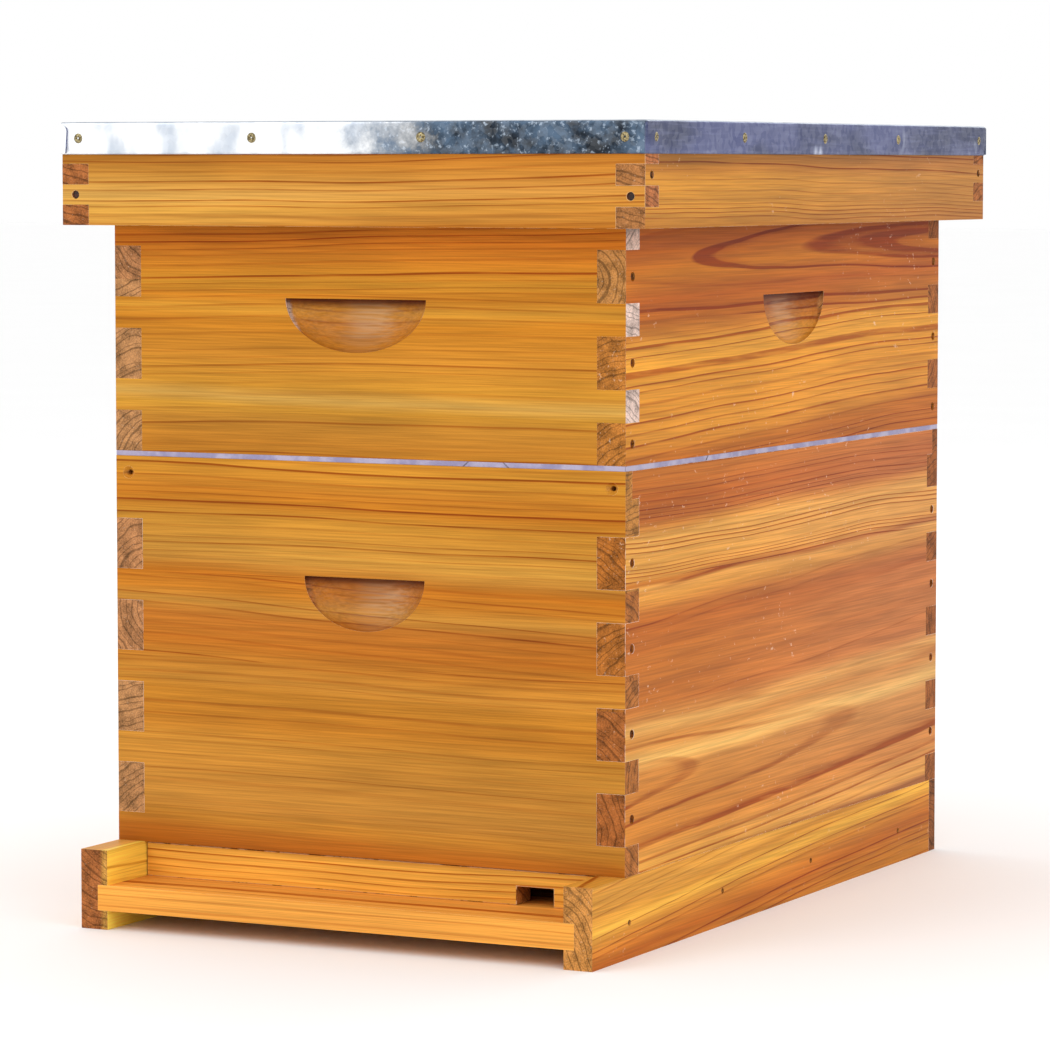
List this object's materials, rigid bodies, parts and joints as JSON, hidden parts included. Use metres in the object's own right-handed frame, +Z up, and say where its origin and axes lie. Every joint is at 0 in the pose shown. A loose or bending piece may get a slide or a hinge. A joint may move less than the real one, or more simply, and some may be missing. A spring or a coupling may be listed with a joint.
{
  "type": "beehive",
  "caption": "Wax-dipped wooden frame hive: bottom board, deep box, queen excluder, medium super and a metal-topped telescoping cover, with lift-out frames inside.",
  "frame": {"origin": "centre of the object's bounding box at the level that the bottom board stands on", "axes": "+Z up, front and bee entrance face -Y, +X to the right of someone facing the front from outside"},
  "size_m": [0.4064, 0.5752, 0.5036],
  "materials": {
    "box_wood": "satin",
    "cover_wood": "satin",
    "bottom_board_wood": "satin",
    "pale_wood": "matte",
    "frame_wood": "matte",
    "beeswax": "satin",
    "galvanised_sheet": "spangled",
    "excluder_steel": "satin",
    "nail_steel": "satin",
    "brass_nail": "satin"
  },
  "bodies": {
    "bottom_board": {"bottom_rail_left": "bottom_board_wood", "bottom_rail_right": "bottom_board_wood", "bottom_rear_strip": "bottom_board_wood", "floor_planks": "bottom_board_wood", "bottom_nails": "nail_steel"},
    "entrance_reducer": {"entrance_reducer": "bottom_board_wood"},
    "deep_box": {"deep_front": "box_wood", "deep_rear": "box_wood", "deep_left": "box_wood", "deep_right": "box_wood", "deep_nails": "nail_steel"},
    "queen_excluder": {"excluder_binding": "excluder_steel", "excluder_wires": "excluder_steel"},
    "medium_super": {"medium_front": "box_wood", "medium_rear": "box_wood", "medium_left": "box_wood", "medium_right": "box_wood", "medium_nails": "nail_steel"},
    "inner_cover": {"inner_cover_panel": "pale_wood", "inner_cover_rim": "pale_wood"},
    "outer_cover": {"cover_front": "cover_wood", "cover_rear": "cover_wood", "cover_left": "cover_wood", "cover_right": "cover_wood", "cover_deck": "pale_wood", "cover_sheet": "galvanised_sheet", "cover_rim_nails": "nail_steel", "cover_sheet_nails": "brass_nail"},
    "deep_frame_1": {"deep_frame_1": "frame_wood", "deep_foundation_1": "beeswax"},
    "deep_frame_2": {"deep_frame_2": "frame_wood", "deep_foundation_2": "beeswax"},
    "deep_frame_3": {"deep_frame_3": "frame_wood", "deep_foundation_3": "beeswax"},
    "deep_frame_4": {"deep_frame_4": "frame_wood", "deep_foundation_4": "beeswax"},
    "deep_frame_5": {"deep_frame_5": "frame_wood", "deep_foundation_5": "beeswax"},
    "deep_frame_6": {"deep_frame_6": "frame_wood", "deep_foundation_6": "beeswax"},
    "deep_frame_7": {"deep_frame_7": "frame_wood", "deep_foundation_7": "beeswax"},
    "deep_frame_8": {"deep_frame_8": "frame_wood", "deep_foundation_8": "beeswax"},
    "medium_frame_1": {"medium_frame_1": "frame_wood", "medium_foundation_1": "beeswax"},
    "medium_frame_2": {"medium_frame_2": "frame_wood", "medium_foundation_2": "beeswax"},
    "medium_frame_3": {"medium_frame_3": "frame_wood", "medium_foundation_3": "beeswax"},
    "medium_frame_4": {"medium_frame_4": "frame_wood", "medium_foundation_4": "beeswax"},
    "medium_frame_5": {"medium_frame_5": "frame_wood", "medium_foundation_5": "beeswax"},
    "medium_frame_6": {"medium_frame_6": "frame_wood", "medium_foundation_6": "beeswax"},
    "medium_frame_7": {"medium_frame_7": "frame_wood", "medium_foundation_7": "beeswax"},
    "medium_frame_8": {"medium_frame_8": "frame_wood", "medium_foundation_8": "beeswax"}
  },
  "joints": [
    {"name": "deep_box_lift", "type": "slide", "parent": "bottom_board", "child": "deep_box", "axis": [0, 0, 1], "range_m": [0, 0.15]},
    {"name": "excluder_lift", "type": "slide", "parent": "deep_box", "child": "queen_excluder", "axis": [0, 0, 1], "range_m": [0, 0.36]},
    {"name": "medium_super_lift", "type": "slide", "parent": "queen_excluder", "child": "medium_super", "axis": [0, 0, 1], "range_m": [0, 0.15]},
    {"name": "inner_cover_lift", "type": "slide", "parent": "medium_super", "child": "inner_cover", "axis": [0, 0, 1], "range_m": [0, 0.25]},
    {"name": "outer_cover_lift", "type": "slide", "parent": "inner_cover", "child": "outer_cover", "axis": [0, 0, 1], "range_m": [0, 0.12]},
    {"name": "reducer_slide", "type": "slide", "parent": "bottom_board", "child": "entrance_reducer", "axis": [0, -1, 0], "range_m": [0, 0.06]},
    {"name": "deep_frame_1_lift", "type": "slide", "parent": "deep_box", "child": "deep_frame_1", "axis": [0, 0, 1], "range_m": [0, 0.26]},
    {"name": "deep_frame_2_lift", "type": "slide", "parent": "deep_box", "child": "deep_frame_2", "axis": [0, 0, 1], "range_m": [0, 0.26]},
    {"name": "deep_frame_3_lift", "type": "slide", "parent": "deep_box", "child": "deep_frame_3", "axis": [0, 0, 1], "range_m": [0, 0.26]},
    {"name": "deep_frame_4_lift", "type": "slide", "parent": "deep_box", "child": "deep_frame_4", "axis": [0, 0, 1], "range_m": [0, 0.26]},
    {"name": "deep_frame_5_lift", "type": "slide", "parent": "deep_box", "child": "deep_frame_5", "axis": [0, 0, 1], "range_m": [0, 0.26]},
    {"name": "deep_frame_6_lift", "type": "slide", "parent": "deep_box", "child": "deep_frame_6", "axis": [0, 0, 1], "range_m": [0, 0.26]},
    {"name": "deep_frame_7_lift", "type": "slide", "parent": "deep_box", "child": "deep_frame_7", "axis": [0, 0, 1], "range_m": [0, 0.26]},
    {"name": "deep_frame_8_lift", "type": "slide", "parent": "deep_box", "child": "deep_frame_8", "axis": [0, 0, 1], "range_m": [0, 0.26]},
    {"name": "medium_frame_1_lift", "type": "slide", "parent": "medium_super", "child": "medium_frame_1", "axis": [0, 0, 1], "range_m": [0, 0.18]},
    {"name": "medium_frame_2_lift", "type": "slide", "parent": "medium_super", "child": "medium_frame_2", "axis": [0, 0, 1], "range_m": [0, 0.18]},
    {"name": "medium_frame_3_lift", "type": "slide", "parent": "medium_super", "child": "medium_frame_3", "axis": [0, 0, 1], "range_m": [0, 0.18]},
    {"name": "medium_frame_4_lift", "type": "slide", "parent": "medium_super", "child": "medium_frame_4", "axis": [0, 0, 1], "range_m": [0, 0.18]},
    {"name": "medium_frame_5_lift", "type": "slide", "parent": "medium_super", "child": "medium_frame_5", "axis": [0, 0, 1], "range_m": [0, 0.18]},
    {"name": "medium_frame_6_lift", "type": "slide", "parent": "medium_super", "child": "medium_frame_6", "axis": [0, 0, 1], "range_m": [0, 0.18]},
    {"name": "medium_frame_7_lift", "type": "slide", "parent": "medium_super", "child": "medium_frame_7", "axis": [0, 0, 1], "range_m": [0, 0.18]},
    {"name": "medium_frame_8_lift", "type": "slide", "parent": "medium_super", "child": "medium_frame_8", "axis": [0, 0, 1], "range_m": [0, 0.18]}
  ],
  "couplings": [
    {"joint": "deep_frame_1_lift", "follows": "excluder_lift", "ratio": 0.7},
    {"joint": "deep_frame_2_lift", "follows": "excluder_lift", "ratio": 0.7},
    {"joint": "deep_frame_3_lift", "follows": "excluder_lift", "ratio": 0.7},
    {"joint": "deep_frame_4_lift", "follows": "excluder_lift", "ratio": 0.7},
    {"joint": "deep_frame_5_lift", "follows": "excluder_lift", "ratio": 0.7},
    {"joint": "deep_frame_6_lift", "follows": "excluder_lift", "ratio": 0.7},
    {"joint": "deep_frame_7_lift", "follows": "excluder_lift", "ratio": 0.7},
    {"joint": "deep_frame_8_lift", "follows": "excluder_lift", "ratio": 0.7},
    {"joint": "medium_frame_1_lift", "follows": "inner_cover_lift", "ratio": 0.7},
    {"joint": "medium_frame_2_lift", "follows": "inner_cover_lift", "ratio": 0.7},
    {"joint": "medium_frame_3_lift", "follows": "inner_cover_lift", "ratio": 0.7},
    {"joint": "medium_frame_4_lift", "follows": "inner_cover_lift", "ratio": 0.7},
    {"joint": "medium_frame_5_lift", "follows": "inner_cover_lift", "ratio": 0.7},
    {"joint": "medium_frame_6_lift", "follows": "inner_cover_lift", "ratio": 0.7},
    {"joint": "medium_frame_7_lift", "follows": "inner_cover_lift", "ratio": 0.7},
    {"joint": "medium_frame_8_lift", "follows": "inner_cover_lift", "ratio": 0.7}
  ]
}
